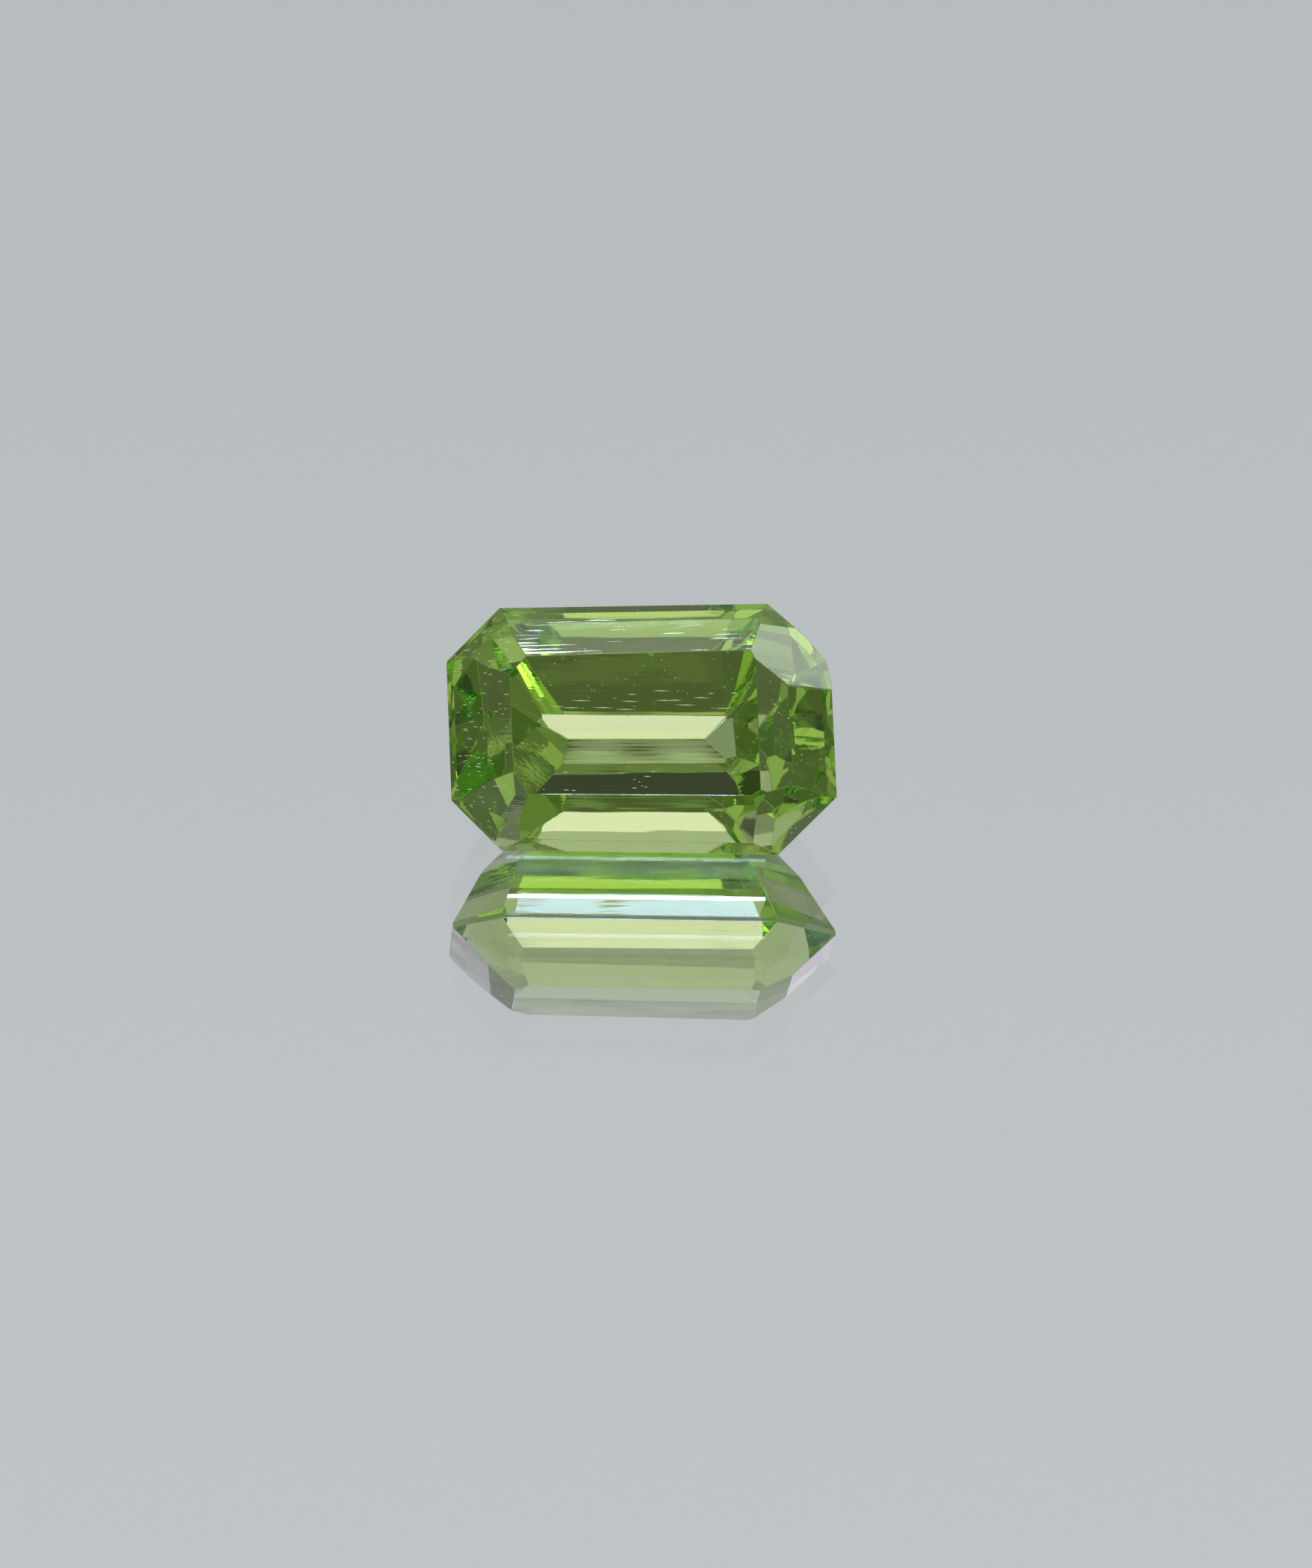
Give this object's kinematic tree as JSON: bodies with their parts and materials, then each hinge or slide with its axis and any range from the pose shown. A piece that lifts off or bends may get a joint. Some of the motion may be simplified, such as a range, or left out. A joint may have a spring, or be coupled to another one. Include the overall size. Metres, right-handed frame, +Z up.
{
  "type": "emerald-cut peridot gemstone",
  "caption": "Faceted emerald-cut peridot, a clear olive-green step-cut gem with cut corners, lying on one long pavilion facet.",
  "frame": {"origin": "middle of the box round the resting stone, on the surface it lies on", "axes": "+X along the stone's length, +Z up from the facet it rests on; the table looks towards -Y and up"},
  "size_m": [0.0072, 0.0038, 0.0039],
  "materials": {
    "peridot": "polished, transparent olive green, with fine polishing scratches and lightly worn facet edges"
  },
  "bodies": {
    "root": {"peridot": "peridot"}
  },
  "joints": []
}
